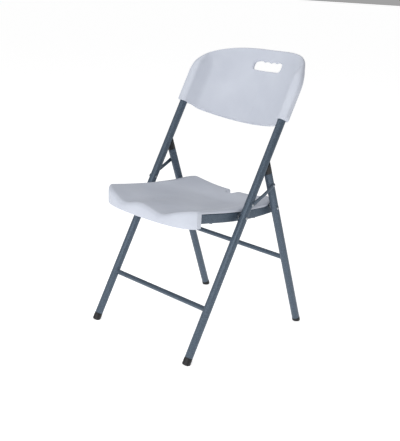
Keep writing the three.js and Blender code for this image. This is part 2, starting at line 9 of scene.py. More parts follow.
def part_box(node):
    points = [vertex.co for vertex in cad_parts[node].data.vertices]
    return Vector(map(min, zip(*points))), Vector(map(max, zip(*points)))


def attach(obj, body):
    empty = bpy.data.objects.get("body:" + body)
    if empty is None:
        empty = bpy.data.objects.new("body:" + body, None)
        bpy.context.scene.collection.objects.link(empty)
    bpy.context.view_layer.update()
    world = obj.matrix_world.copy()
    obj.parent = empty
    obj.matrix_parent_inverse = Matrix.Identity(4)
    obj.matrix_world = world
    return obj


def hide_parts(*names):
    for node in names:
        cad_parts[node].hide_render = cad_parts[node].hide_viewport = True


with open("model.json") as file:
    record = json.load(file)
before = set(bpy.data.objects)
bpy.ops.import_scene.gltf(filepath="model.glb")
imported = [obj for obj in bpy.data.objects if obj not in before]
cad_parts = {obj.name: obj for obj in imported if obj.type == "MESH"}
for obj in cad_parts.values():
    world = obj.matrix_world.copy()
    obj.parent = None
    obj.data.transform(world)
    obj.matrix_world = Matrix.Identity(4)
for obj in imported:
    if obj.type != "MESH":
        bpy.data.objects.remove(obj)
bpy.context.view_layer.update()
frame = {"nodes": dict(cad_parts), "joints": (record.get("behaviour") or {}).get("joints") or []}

# ---------------------------------------------------------------- camera
# Stands at the chair's front left, a little above the seat, as someone looks
# at a chair in a showroom. It is rolled very slightly.
CAMERA_PLACE = (1.7815, -1.8356, 1.1165)
CAMERA_TURN = 0.795955  # to the left of straight back, in radians
CAMERA_DIP = 0.284639  # below level
CAMERA_ROLL = 0.0365388
camera_data = bpy.data.cameras.new("camera")
camera_data.lens = 67.05
camera_data.sensor_width = 36
camera_data.shift_x = 0.0286
camera_data.shift_y = -0.0199
camera = bpy.data.objects.new("camera", camera_data)
bpy.context.collection.objects.link(camera)
facing = Matrix.Rotation(CAMERA_TURN, 4, "Z") @ Matrix.Rotation(math.pi / 2 - CAMERA_DIP, 4, "X")
camera.matrix_world = facing @ Matrix.Rotation(CAMERA_ROLL, 4, "Z")
camera.location = CAMERA_PLACE
bpy.context.scene.camera = camera

# ---------------------------------------------------------------- studio
# A white floor that runs out of sight, a large soft light beside the camera, a
# weaker one above, a small one to draw a highlight down the tubes, and even
# white surroundings.
bpy.context.scene.view_settings.view_transform = "Standard"


def linear(hex_colour):
    """An sRGB hex colour as linear red, green, blue and alpha."""
    channels = [int(hex_colour[i : i + 2], 16) / 255 for i in (1, 3, 5)]
    return [c / 12.92 if c <= 0.04045 else ((c + 0.055) / 1.055) ** 2.4 for c in channels] + [1]


def new_material(name):
    material = bpy.data.materials.new(name)
    material.use_nodes = True
    material.node_tree.nodes.clear()
    return material


def add_node(material, kind, **inputs):
    """Adds one node. Each input is a value, or another node's output that is linked to it."""
    node = material.node_tree.nodes.new(kind)
    for name, value in inputs.items():
        socket = node.inputs[name.replace("_", " ")]
        if isinstance(value, bpy.types.NodeSocket):
            material.node_tree.links.new(value, socket)
        else:
            socket.default_value = value
    return node


floor_paper = new_material("white seamless paper")
floor_shade = add_node(
    floor_paper,
    "ShaderNodeBsdfPrincipled",
    Base_Color=linear("#F4F4F4"),
    Roughness=0.9,
    Emission_Color=linear("#FFFFFF"),
    Emission_Strength=0.66,
)
add_node(floor_paper, "ShaderNodeOutputMaterial", Surface=floor_shade.outputs[0])
FLOOR_WIDTH = 60
bpy.ops.mesh.primitive_plane_add(size=FLOOR_WIDTH)
floor = bpy.context.object
floor.name = "studio_floor"
floor.data.materials.append(floor_paper)


def soft_light(name, place, target, size, power):
    """A square lamp, sized in metres, that faces its target."""
    data = bpy.data.lights.new(name, "AREA")
    data.shape = "SQUARE"
    data.size = size
    data.energy = power
    lamp = bpy.data.objects.new(name, data)
    bpy.context.collection.objects.link(lamp)
    lamp.location = place
    lamp.rotation_euler = (Vector(target) - Vector(place)).to_track_quat("-Z", "Y").to_euler()


soft_light("key_light", (1.6, -2.9, 1.7), (0, 0, 0.5), 1.6, 35)
soft_light("top_light", (-0.5, -0.4, 3.2), (0, 0, 0.4), 2.0, 26)
soft_light("strip_light", (-0.5, -3.3, 1.3), (0, 0, 0.5), 0.7, 14)
surroundings = bpy.data.worlds.new("surroundings")
surroundings.use_nodes = True
sky = surroundings.node_tree.nodes["Background"]
sky.inputs["Color"].default_value = (1, 1, 1, 1)
sky.inputs["Strength"].default_value = 0.36
bpy.context.scene.world = surroundings

# ---------------------------------------------------------------- front legs
# Two straight round steel tubes, seam-welded and cut square, powder-coated
# slate grey. The two pivots on each leg give the line that it lies on.
MM = 0.001
TUBE_RADIUS = 12.5 * MM
TUBE_WALL = 1.2 * MM
TUBE_END_BREAK = 0.3 * MM
SIDES = {"left": 1, "right": -1}
joint_place = {joint["name"]: Vector(joint["pos_m"]) for joint in frame["joints"]}


def middle(node):
    """The middle of a CAD node's box."""
    low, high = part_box(node)
    return (Vector(low) + Vector(high)) / 2


LEG_X = middle("front_leg_left").x
front_line = (joint_place["links_fold"] - joint_place["seat_fold"]).normalized()
front_foot = joint_place["seat_fold"] - front_line * (joint_place["seat_fold"].z / front_line.z)
front_lean = math.atan2(-front_line.y, front_line.z)
# From a leg's own directions (across, square to it, along it) to the chair's
front_frame = Matrix.Translation(front_foot) @ Matrix.Rotation(front_lean, 4, "X")


def along(frame_matrix, point):
    """How far a point lies along a leg, from the floor."""
    return (frame_matrix.inverted() @ point).z


def deselect():
    if bpy.context.object and bpy.context.object.mode != "OBJECT":
        bpy.ops.object.mode_set(mode="OBJECT")
    bpy.ops.object.select_all(action="DESELECT")


def pick(piece):
    deselect()
    bpy.context.view_layer.objects.active = piece
    piece.select_set(True)


def shape_with(piece, kind, **settings):
    """Adds a modifier with its settings and applies it."""
    pick(piece)
    modifier = piece.modifiers.new(kind.title(), kind)
    for key, value in settings.items():
        setattr(modifier, key, value)
    bpy.ops.object.modifier_apply(modifier=modifier.name)


def apply_place(piece):
    pick(piece)
    bpy.ops.object.transform_apply(location=True, rotation=True, scale=True)


SMOOTH_UNDER = 35  # degrees: sharper edges stay sharp


def done(piece, name, body, material, stands_for, smooth=SMOOTH_UNDER):
    """Names a finished piece and hands it to the frame."""
    apply_place(piece)
    bpy.ops.object.shade_smooth_by_angle(angle=math.radians(smooth))
    piece.name = name
    piece.data.name = name
    piece.data.materials.clear()
    piece.data.materials.append(material)
    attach(piece, body)
    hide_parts(*stands_for)


def powder_coat():
    """Polyester powder coat on steel, with some metal flake in it: an even colour, the faint
    orange peel of the melted powder, 2.4 mm wide, and a half gloss that the peel breaks up."""
    material = new_material("slate grey powder coat")
    place = add_node(material, "ShaderNodeTexCoord").outputs["Object"]
    peel = add_node(
        material,
        "ShaderNodeTexNoise",
        Vector=place,
        Scale=1 / (2.4 * MM),
        Detail=3.0,
        Roughness=0.55,
    )
    tint = add_node(material, "ShaderNodeValToRGB", Fac=peel.outputs["Fac"])
    tint.color_ramp.elements[0].position = 0.35
    tint.color_ramp.elements[0].color = linear("#414D5A")
    tint.color_ramp.elements[1].position = 0.68
    tint.color_ramp.elements[1].color = linear("#5D6B7A")
    gloss = add_node(
        material, "ShaderNodeMapRange", Value=peel.outputs["Fac"], To_Min=0.34, To_Max=0.5
    )
    bump = add_node(
        material, "ShaderNodeBump", Height=peel.outputs["Fac"], Strength=0.3, Distance=0.08 * MM
    )
    coat = add_node(
        material,
        "ShaderNodeBsdfPrincipled",
        Base_Color=tint.outputs["Color"],
        Roughness=gloss.outputs["Result"],
        Normal=bump.outputs["Normal"],
        Metallic=0.3,
        IOR=1.5,
        Specular_IOR_Level=0.35,
    )
    add_node(material, "ShaderNodeOutputMaterial", Surface=coat.outputs[0])
    return material


slate_coat = powder_coat()


def give_wall(tube):
    """Turns the outer skin of an open-ended tube into a steel wall with softly broken ends."""
    shape_with(tube, "SOLIDIFY", thickness=TUBE_WALL, offset=-1)
    shape_with(
        tube,
        "BEVEL",
        width=TUBE_END_BREAK,
        segments=2,
        limit_method="ANGLE",
        angle_limit=math.radians(60),
    )


def straight_tube(frame_matrix, x, start, end):
    """A tube along a leg's own direction."""
    bpy.ops.mesh.primitive_cylinder_add(
        vertices=72,
        radius=TUBE_RADIUS,
        depth=end - start,
        end_fill_type="NOTHING",
        location=frame_matrix @ Vector((x, 0, (start + end) / 2)),
        rotation=frame_matrix.to_euler(),
    )
    tube = bpy.context.object
    apply_place(tube)
    give_wall(tube)
    return tube


def tube_ends(node, line):
    """How far along its line a tube starts and ends: its box, less what the lean adds."""
    low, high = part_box(node)
    spread = TUBE_RADIUS * abs(line.y)
    return (low[2] + spread) / line.z, (high[2] - spread) / line.z


front_start, front_end = tube_ends("front_leg_left", front_line)
for side_name, side in SIDES.items():
    node = "front_leg_" + side_name
    tube = straight_tube(front_frame, side * LEG_X, front_start, front_end)
    done(tube, "front_tube_" + side_name, "front_frame", slate_coat, [node])

# ---------------------------------------------------------------- rear legs
# The same tube, shorter, hinged to the seat rails. Its pivot and the middle of
# its tube give the line that it lies on.
rear_line = joint_place["rear_legs_fold"] - middle("rear_leg_left")
rear_line.x = 0
rear_line.normalize()
rear_hinge = joint_place["rear_legs_fold"]
rear_foot = rear_hinge - rear_line * (rear_hinge.z / rear_line.z)
rear_lean = math.atan2(-rear_line.y, rear_line.z)
rear_frame = Matrix.Translation(rear_foot) @ Matrix.Rotation(rear_lean, 4, "X")
rear_start, rear_end = tube_ends("rear_leg_left", rear_line)
for side_name, side in SIDES.items():
    node = "rear_leg_" + side_name
    tube = straight_tube(rear_frame, side * LEG_X, rear_start, rear_end)
    done(tube, "rear_tube_" + side_name, "rear_legs", slate_coat, [node])

# ---------------------------------------------------------------- rungs
# Thinner tubes whose ends are cut to the round of the legs and welded all
# round, under the same powder coat. Each end keeps its bead of weld.
WELD_BEAD = 1.5 * MM
WELD_RIPPLE = 0.15 * MM
WELD_RIPPLES = 26
WELD_SINK = 0.3 * MM


def cut_with(piece, cutter, operation="DIFFERENCE"):
    """Cuts a piece by another solid, which is then thrown away."""
    shape_with(piece, "BOOLEAN", object=cutter, operation=operation, solver="EXACT")
    bpy.data.objects.remove(cutter, do_unlink=True)


def rung(node, frame_matrix):
    """A cross tube between two legs, as thick and as high up them as its CAD node."""
    low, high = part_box(node)
    radius = (high[2] - low[2]) / 2
    height = along(frame_matrix, middle(node))
    bpy.ops.mesh.primitive_cylinder_add(
        vertices=56,
        radius=radius,
        depth=2 * LEG_X,
        location=(0, 0, height),
        rotation=(0, math.pi / 2, 0),
    )
    bar = bpy.context.object
    apply_place(bar)
    for side in SIDES.values():
        bpy.ops.mesh.primitive_cylinder_add(
            vertices=72,
            radius=TUBE_RADIUS - 0.1 * MM,
            depth=60 * MM,
            location=(side * LEG_X, 0, height),
        )
        leg_round = bpy.context.object
        apply_place(leg_round)
        cut_with(bar, leg_round)
        bpy.ops.mesh.primitive_torus_add(
            major_radius=radius + 0.2 * MM,
            minor_radius=WELD_BEAD,
            major_segments=64,
            minor_segments=12,
            rotation=(0, math.pi / 2, 0),
        )
        bead = bpy.context.object
        apply_place(bead)
        for vertex in bead.data.vertices:
            leg_surface = math.sqrt(TUBE_RADIUS**2 - vertex.co.y**2)
            ripple = WELD_RIPPLE * math.sin(WELD_RIPPLES * math.atan2(vertex.co.z, vertex.co.y))
            vertex.co.x += side * (LEG_X - leg_surface - WELD_SINK + ripple)
            vertex.co.z += height
        pick(bar)
        bead.select_set(True)
        bpy.ops.object.join()
    bar.matrix_world = frame_matrix
    return bar


bar = rung("front_rung", front_frame)
done(bar, "front_rung_tube", "front_frame", slate_coat, ["front_rung"])
bar = rung("rear_rung", rear_frame)
done(bar, "rear_rung_tube", "rear_legs", slate_coat, ["rear_rung"])

# ---------------------------------------------------------------- feet
# Black polyethylene plugs pushed into the legs: a head as wide as the tube with
# a rounded foot, worn flat where it meets the floor, and a spigot inside.
FOOT_LIP = 0.5 * MM  # how far the head stands out past the tube
FOOT_ROUND = 4.5 * MM
FOOT_WEAR = 2 * MM  # cut off by the floor
FOOT_LIP_ROUND = 0.9 * MM
FOOT_FLAT_BREAK = 0.7 * MM
SPIGOT_PLAY = 0.3 * MM
SPIGOT_RADIUS = TUBE_RADIUS - TUBE_WALL - SPIGOT_PLAY
SPIGOT_LENGTH = 16 * MM


def moulded_black():
    """Injection-moulded polyethylene: nearly black and satin, with scuffs 3 mm wide that turn it
    grey."""
    material = new_material("black moulded polyethylene")
    place = add_node(material, "ShaderNodeTexCoord").outputs["Object"]
    scuff = add_node(
        material, "ShaderNodeTexNoise", Vector=place, Scale=1 / (3 * MM), Detail=6.0, Roughness=0.7
    )
    tint = add_node(material, "ShaderNodeValToRGB", Fac=scuff.outputs["Fac"])
    tint.color_ramp.elements[0].position = 0.45
    tint.color_ramp.elements[0].color = linear("#090A0D")
    tint.color_ramp.elements[1].position = 0.8
    tint.color_ramp.elements[1].color = linear("#1A1C22")
    gloss = add_node(
        material, "ShaderNodeMapRange", Value=scuff.outputs["Fac"], To_Min=0.38, To_Max=0.62
    )
    bump = add_node(
        material, "ShaderNodeBump", Height=scuff.outputs["Fac"], Strength=0.3, Distance=0.05 * MM
    )
    plastic = add_node(
        material,
        "ShaderNodeBsdfPrincipled",
        Base_Color=tint.outputs["Color"],
        Roughness=gloss.outputs["Result"],
        Normal=bump.outputs["Normal"],
        IOR=1.51,
    )
    add_node(material, "ShaderNodeOutputMaterial", Surface=plastic.outputs[0])
    return material


black_plastic = moulded_black()


def quarter(centre_r, centre_z, radius, start, end, steps=6):
    """Points on part of a circle in a profile. Angles are in degrees, from outwards to upwards."""
    angles = [math.radians(start + (end - start) * i / steps) for i in range(steps + 1)]
    return [(centre_r + radius * math.cos(a), centre_z + radius * math.sin(a)) for a in angles]


def turn_profile(profile, sides=64):
    """Spins a profile of (radius, height) points about the Z axis into a closed solid."""
    mesh = bpy.data.meshes.new("profile")
    links = [(i, i + 1) for i in range(len(profile) - 1)]
    mesh.from_pydata([(r, 0, z) for r, z in profile], links, [])
    piece = bpy.data.objects.new("turned", mesh)
    bpy.context.collection.objects.link(piece)
    pick(piece)
    bpy.ops.object.mode_set(mode="EDIT")
    bpy.ops.mesh.select_all(action="SELECT")
    bpy.ops.mesh.spin(steps=sides, angle=2 * math.pi, axis=(0, 0, 1), center=(0, 0, 0), dupli=False)
    bpy.ops.mesh.select_all(action="SELECT")
    bpy.ops.mesh.remove_doubles(threshold=0.002 * MM)
    bpy.ops.mesh.normals_make_consistent(inside=False)
    bpy.ops.object.mode_set(mode="OBJECT")
    return piece


def foot(frame_matrix, x, top):
    """A plug for one leg. Its head ends at the tube, with a shallow groove just below its lip."""
    head = TUBE_RADIUS + FOOT_LIP
    low = -FOOT_WEAR
    profile = [(0, low), (head - 5 * MM, low)]
    profile += quarter(head - FOOT_ROUND, low + FOOT_ROUND, FOOT_ROUND, -85, 0, 8)
    profile += [(head, top - 4.2 * MM), (head - FOOT_LIP, top - 3.7 * MM)]
    profile += [(head - FOOT_LIP, top - 3.1 * MM), (head, top - 2.6 * MM)]
    profile += quarter(head - FOOT_LIP_ROUND, top - 1.2 * MM, FOOT_LIP_ROUND, 0, 90, 4)
    profile += [(SPIGOT_RADIUS, top - 0.3 * MM), (SPIGOT_RADIUS, top + SPIGOT_LENGTH - 2 * MM)]
    profile += [(SPIGOT_RADIUS - 1.5 * MM, top + SPIGOT_LENGTH), (0, top + SPIGOT_LENGTH)]
    plug = turn_profile(profile)
    plug.matrix_world = frame_matrix @ Matrix.Translation((x, 0, 0))
    apply_place(plug)
    bpy.ops.object.mode_set(mode="EDIT")
    bpy.ops.mesh.select_all(action="SELECT")
    bpy.ops.mesh.bisect(plane_co=(0, 0, 0), plane_no=(0, 0, 1), use_fill=True, clear_inner=True)
    bpy.ops.object.mode_set(mode="OBJECT")
    shape_with(
        plug,
        "BEVEL",
        width=FOOT_FLAT_BREAK,
        segments=3,
        limit_method="ANGLE",
        angle_limit=math.radians(28),
    )
    return plug


for side_name, side in SIDES.items():
    node = "front_foot_" + side_name
    plug = foot(front_frame, side * LEG_X, front_start)
    name = "front_foot_plug_" + side_name
    done(plug, name, "front_frame", black_plastic, [node])
    node = "rear_foot_" + side_name
    plug = foot(rear_frame, side * LEG_X, rear_start)
    done(plug, "rear_foot_plug_" + side_name, "rear_legs", black_plastic, [node])

# ---------------------------------------------------------------- rear leg caps
# Black plugs in the tops of the rear legs. Each is cut at a slant and hollowed,
# so that it beds against the back of the front leg when the chair stands open.
CAP_RADIUS = TUBE_RADIUS + 0.2 * MM
CAP_LENGTH = 70 * MM  # more than is left of it once it is cut to the front leg
CAP_SPIGOT_LENGTH = 20 * MM
CAP_CHAMFER = 0.6 * MM
CAP_GAP = 0.3 * MM
SADDLE_RADIUS = TUBE_RADIUS + 0.8 * MM
SADDLE_HEIGHT = 0.65  # along the front leg, about where the two legs meet
cap_foot = rear_end - CAP_SPIGOT_LENGTH
cap_base = rear_end + CAP_GAP
for side_name, side in SIDES.items():
    profile = [(0, cap_foot), (SPIGOT_RADIUS - 1 * MM, cap_foot)]
    profile += [(SPIGOT_RADIUS, cap_foot + 1 * MM), (SPIGOT_RADIUS, cap_base)]
    profile += [(CAP_RADIUS - CAP_CHAMFER, cap_base)]
    profile += [(CAP_RADIUS, cap_base + CAP_CHAMFER), (CAP_RADIUS, rear_end + CAP_LENGTH)]
    profile += [(0, rear_end + CAP_LENGTH)]
    cap = turn_profile(profile)
    cap.matrix_world = rear_frame @ Matrix.Translation((side * LEG_X, 0, 0))
    apply_place(cap)
    bpy.ops.mesh.primitive_cylinder_add(
        vertices=96,
        radius=SADDLE_RADIUS,
        depth=0.4,
        location=front_frame @ Vector((side * LEG_X, 0, SADDLE_HEIGHT)),
        rotation=front_frame.to_euler(),
    )
    cut_with(cap, bpy.context.object)
    # all that is ahead of 8 mm behind the front leg's middle goes
    bpy.ops.mesh.primitive_cube_add(
        size=1,
        location=front_frame @ Vector((side * LEG_X, -46 * MM, SADDLE_HEIGHT)),
        rotation=front_frame.to_euler(),
    )
    ahead = bpy.context.object
    ahead.scale = (60 * MM, 108 * MM, 0.3)
    apply_place(ahead)
    cut_with(cap, ahead)
    shape_with(
        cap,
        "BEVEL",
        width=CAP_CHAMFER,
        segments=3,
        limit_method="ANGLE",
        angle_limit=math.radians(40),
    )
    node = "rear_leg_cap_" + side_name
    done(cap, "saddle_cap_" + side_name, "rear_legs", black_plastic, [node])

# ---------------------------------------------------------------- rivets and spacers
# Zinc-plated steel rivets hold every pivot: a domed head outside, a flat set
# head inside. A turned steel spacer keeps each leg clear of its seat rail.


def zinc_plate():
    """Bright zinc on steel: a cool grey metal with soft smears, 4 mm wide, where it was handled."""
    material = new_material("zinc-plated steel")
    place = add_node(material, "ShaderNodeTexCoord").outputs["Object"]
    smear = add_node(material, "ShaderNodeTexNoise", Vector=place, Scale=1 / (4 * MM), Detail=4.0)
    gloss = add_node(
        material, "ShaderNodeMapRange", Value=smear.outputs["Fac"], To_Min=0.22, To_Max=0.5
    )
    bump = add_node(
        material, "ShaderNodeBump", Height=smear.outputs["Fac"], Strength=0.15, Distance=0.05 * MM
    )
    plate = add_node(
        material,
        "ShaderNodeBsdfPrincipled",
        Base_Color=linear("#9DA2A8"),
        Roughness=gloss.outputs["Result"],
        Normal=bump.outputs["Normal"],
        Metallic=1.0,
    )
    add_node(material, "ShaderNodeOutputMaterial", Surface=plate.outputs[0])
    return material


zinc = zinc_plate()


def across_chair(piece, centre, side):
    """Lays a piece that was turned about Z across the chair, its head outwards."""
    quarter_turn = Matrix.Rotation(side * math.pi / 2, 4, "Y")
    piece.matrix_world = Matrix.Translation((0, centre.y, centre.z)) @ quarter_turn
    apply_place(piece)


def rivet_profile(start, grip_start, grip_end, end, shank, head):
    """From the flat head, chamfered, by the shank in the pieces it grips, to the domed head."""
    dome_start = grip_end + 0.5 * MM
    dome = [(head, dome_start)]
    for i in range(1, 9):
        angle = i / 8 * math.pi / 2
        dome.append((head * math.cos(angle), dome_start + (end - dome_start) * math.sin(angle)))
    chamfer = 0.8 * MM
    inner = [(0, start), (head - chamfer, start), (head, start + chamfer), (head, grip_start)]
    if start >= grip_start:
        inner = [(0, start)]
    return inner + [(shank, max(start, grip_start)), (shank, grip_end), (head, grip_end)] + dome


TURNED_SIDES = 40
RIVETS = {
    # node's name: (body, flat inner head's thickness, domed head's thickness, shank, head)
    "seat_pivot_rivet_": ("front_frame", 2.4 * MM, 2.7 * MM, 3.5 * MM, 4.9 * MM),
    "rear_pivot_rivet_": ("rear_legs", 2.4 * MM, 2.7 * MM, 3.5 * MM, 4.9 * MM),
    "link_front_rivet_": ("front_frame", 1.5 * MM, 2.2 * MM, 3.0 * MM, 4.2 * MM),
    "link_rear_rivet_": ("links", 0.0, 2.2 * MM, 3.0 * MM, 4.2 * MM),
}
for name, (body, inner_head, outer_head, shank, head) in RIVETS.items():
    for side_name, side in SIDES.items():
        node = name + side_name
        low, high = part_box(node)
        start, end = sorted((abs(low[0]), abs(high[0])))
        profile = rivet_profile(start, start + inner_head, end - outer_head, end, shank, head)
        rivet = turn_profile(profile, TURNED_SIDES)
        across_chair(rivet, middle(node), side)
        done(rivet, node.replace("rivet", "pin"), body, zinc, [node], smooth=40)

SPACER_BORE = 3.8 * MM
SPACER_CHAMFER = 0.5 * MM
for name, body in {"seat_pivot_spacer_": "front_frame", "rear_pivot_spacer_": "rear_legs"}.items():
    for side_name, side in SIDES.items():
        node = name + side_name
        low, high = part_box(node)
        start, end = sorted((abs(low[0]), abs(high[0])))
        outer = (high[2] - low[2]) / 2
        profile = [(SPACER_BORE, start), (outer - SPACER_CHAMFER, start)]
        profile += [(outer, start + SPACER_CHAMFER), (outer, end - SPACER_CHAMFER)]
        profile += [(outer - SPACER_CHAMFER, end)]
        profile += [(SPACER_BORE, end), (SPACER_BORE, start)]
        spacer = turn_profile(profile, TURNED_SIDES)
        across_chair(spacer, middle(node), side)
        done(spacer, node.replace("spacer", "bush"), body, zinc, [node])

# ---------------------------------------------------------------- links
# Pressed steel strips, 2 mm thick, slightly bowed, round-ended, with a raised
# rib down the middle, riveted on outside the tubes. They are powder-coated like
# the legs, and draw the rear legs in as the seat folds.
link_start = joint_place["links_fold"]
link_end = middle("link_rear_rivet_left")
link_line = Vector((0, link_end.y - link_start.y, link_end.z - link_start.z))
link_lean = math.atan2(-link_line.y, link_line.z)
link_frame = Matrix.Translation(link_start) @ Matrix.Rotation(link_lean, 4, "X")
LINK_END_HALF = 6.9 * MM
LINK_WAIST_HALF = 5.9 * MM
LINK_BOW = 1.8 * MM
LINK_THICKNESS = 2 * MM
LINK_RIB = 0.7 * MM
LINK_RIM = 2.2 * MM  # flat metal round the rib
LINK_RIB_SLOPE = 0.8 * MM


def prism(outline, low, high, upright=False):
    """A solid block with a given closed outline, that goes through Z, or through Y if upright."""
    mesh = bpy.data.meshes.new("block")
    corners = [(x, low, y) if upright else (x, y, low) for x, y in outline[:-1]]
    mesh.from_pydata(corners, [], [tuple(range(len(corners)))])
    block = bpy.data.objects.new("block", mesh)
    bpy.context.collection.objects.link(block)
    pick(block)
    bpy.ops.object.mode_set(mode="EDIT")
    bpy.ops.mesh.select_all(action="SELECT")
    step = (0, high - low, 0) if upright else (0, 0, high - low)
    bpy.ops.mesh.extrude_region_move(TRANSFORM_OT_translate={"value": step})
    bpy.ops.mesh.select_all(action="SELECT")
    bpy.ops.mesh.normals_make_consistent(inside=False)
    bpy.ops.object.mode_set(mode="OBJECT")
    return block


# Both long edges are shallow parabolas between the round ends.
link_length = link_line.length
share = np.linspace(0, 1, 25)
bulge = 4 * share * (1 - share)
lower_edge = LINK_END_HALF + (LINK_BOW + LINK_WAIST_HALF - LINK_END_HALF) * bulge
upper_edge = -LINK_END_HALF + (LINK_BOW - LINK_WAIST_HALF + LINK_END_HALF) * bulge
turn = np.linspace(0, math.pi, 17)[1:-1]
link_outline = list(zip(lower_edge, share * link_length))
link_outline += list(zip(LINK_END_HALF * np.cos(turn), link_length + LINK_END_HALF * np.sin(turn)))
link_outline += list(zip(upper_edge[::-1], share[::-1] * link_length))
link_outline += list(zip(-LINK_END_HALF * np.cos(turn), -LINK_END_HALF * np.sin(turn)))
link_outline.append(link_outline[0])
# Turns an outline drawn flat into one that stands along the link, seen from the side
lengthwise = Matrix(((0, 0, 1, 0), (1, 0, 0, 0), (0, 1, 0, 0), (0, 0, 0, 1)))
for side_name, side in SIDES.items():
    node = "link_" + side_name
    inside = min(abs(corner[0]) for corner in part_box(node))
    near, far = sorted((side * inside, side * (inside + LINK_THICKNESS)))
    strip = prism(link_outline, near, far)
    strip.matrix_world = lengthwise
    apply_place(strip)
    bpy.ops.object.mode_set(mode="EDIT")
    bpy.ops.mesh.select_mode(type="FACE")
    bpy.ops.mesh.select_all(action="DESELECT")
    bpy.ops.object.mode_set(mode="OBJECT")
    for face in strip.data.polygons:
        face.select = face.normal.x * side > 0.9
    bpy.ops.object.mode_set(mode="EDIT")
    bpy.ops.mesh.inset(thickness=LINK_RIM, depth=0)
    bpy.ops.mesh.inset(thickness=LINK_RIB_SLOPE, depth=LINK_RIB)
    bpy.ops.object.mode_set(mode="OBJECT")
    shape_with(
        strip,
        "BEVEL",
        width=0.25 * MM,
        segments=2,
        limit_method="ANGLE",
        angle_limit=math.radians(30),
    )
    strip.matrix_world = link_frame
    done(strip, "link_strip_" + side_name, "links", slate_coat, [node])

# ---------------------------------------------------------------- seat rails
# Flat-sided tubes with rounded corners, rolled to a shallow sag that the seat
# follows. The CAD node's edges give the sag; the ends are cut upright.
RAIL_CORNER = 5 * MM
RAIL_CUTS = 44
RAIL_LEAST_EDGE = 25 * MM  # stations that read less are at the slanting ends
rail_points = np.array([vertex.co for vertex in frame["nodes"]["seat_rail_left"].data.vertices])
RAIL_LOW, RAIL_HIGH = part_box("seat_rail_left")
rail_outside = rail_points[rail_points[:, 0] > RAIL_HIGH[0] - 0.1 * MM]
stations = np.unique(np.round(rail_outside[:, 1], 5))
edge_heights = [rail_outside[np.abs(rail_outside[:, 1] - y) < 0.02 * MM][:, 2] for y in stations]
upright = [(y, h) for y, h in zip(stations, edge_heights) if np.ptp(h) > RAIL_LEAST_EDGE]
RAIL_HEIGHT = float(np.median([h.max() - h.min() for _, h in upright]))
rail_sag = np.polynomial.Polynomial.fit(
    [y for y, _ in upright], [(h.min() + h.max()) / 2 for _, h in upright], 4
)


rail_width = RAIL_HIGH[0] - RAIL_LOW[0]
rail_length = RAIL_HIGH[1] - RAIL_LOW[1]


def rail_middle(y):
    """The height of the rail's middle at a depth in the chair."""
    return rail_sag(np.clip(y, RAIL_LOW[1], RAIL_HIGH[1]))


def pick_long_edges(rail):
    """Selects the edges that run the rail's length, and leaves it in edit mode."""
    bpy.ops.object.mode_set(mode="EDIT")
    bpy.ops.mesh.select_mode(type="EDGE")
    bpy.ops.mesh.select_all(action="DESELECT")
    bpy.ops.object.mode_set(mode="OBJECT")
    for edge in rail.data.edges:
        a, b = (rail.data.vertices[i].co for i in edge.vertices)
        edge.select = abs(a.y - b.y) > rail_length / 2
    bpy.ops.object.mode_set(mode="EDIT")


for side_name, side in SIDES.items():
    node = "seat_rail_" + side_name
    rail_x = side * (RAIL_LOW[0] + RAIL_HIGH[0]) / 2
    bpy.ops.mesh.primitive_cube_add(size=1, location=(rail_x, RAIL_LOW[1] + rail_length / 2, 0))
    rail = bpy.context.object
    rail.scale = (rail_width, rail_length, RAIL_HEIGHT)
    apply_place(rail)
    pick_long_edges(rail)
    bpy.ops.mesh.bevel(offset=RAIL_CORNER, segments=8, affect="EDGES")
    bpy.ops.mesh.select_all(action="DESELECT")
    bpy.ops.mesh.select_mode(type="FACE")
    bpy.ops.object.mode_set(mode="OBJECT")
    for face in rail.data.polygons:
        face.select = abs(face.normal.y) > 0.9
    bpy.ops.object.mode_set(mode="EDIT")
    bpy.ops.mesh.delete(type="ONLY_FACE")
    pick_long_edges(rail)
    bpy.ops.mesh.subdivide(number_cuts=RAIL_CUTS)
    bpy.ops.object.mode_set(mode="OBJECT")
    for vertex in rail.data.vertices:
        vertex.co.z += float(rail_middle(vertex.co.y))
    give_wall(rail)
    done(rail, "side_rail_" + side_name, "seat", slate_coat, [node])

cross_low, cross_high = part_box("seat_cross_tube")
bpy.ops.mesh.primitive_cylinder_add(
    vertices=48,
    radius=(cross_high[2] - cross_low[2]) / 2,
    depth=cross_high[0] - cross_low[0],
    end_fill_type="NOTHING",
    location=middle("seat_cross_tube"),
    rotation=(0, math.pi / 2, 0),
)
cross_tube = bpy.context.object
apply_place(cross_tube)
give_wall(cross_tube)
done(cross_tube, "cross_tube", "seat", slate_coat, ["seat_cross_tube"])

# ---------------------------------------------------------------- back panel
# A hollow shell blow-moulded in pale grey polyethylene, bowed round the sitter's
# back, with a rolled rim, a hand slot, and a sleeve down each side that slides
# over the front leg and is held by two screws from behind.


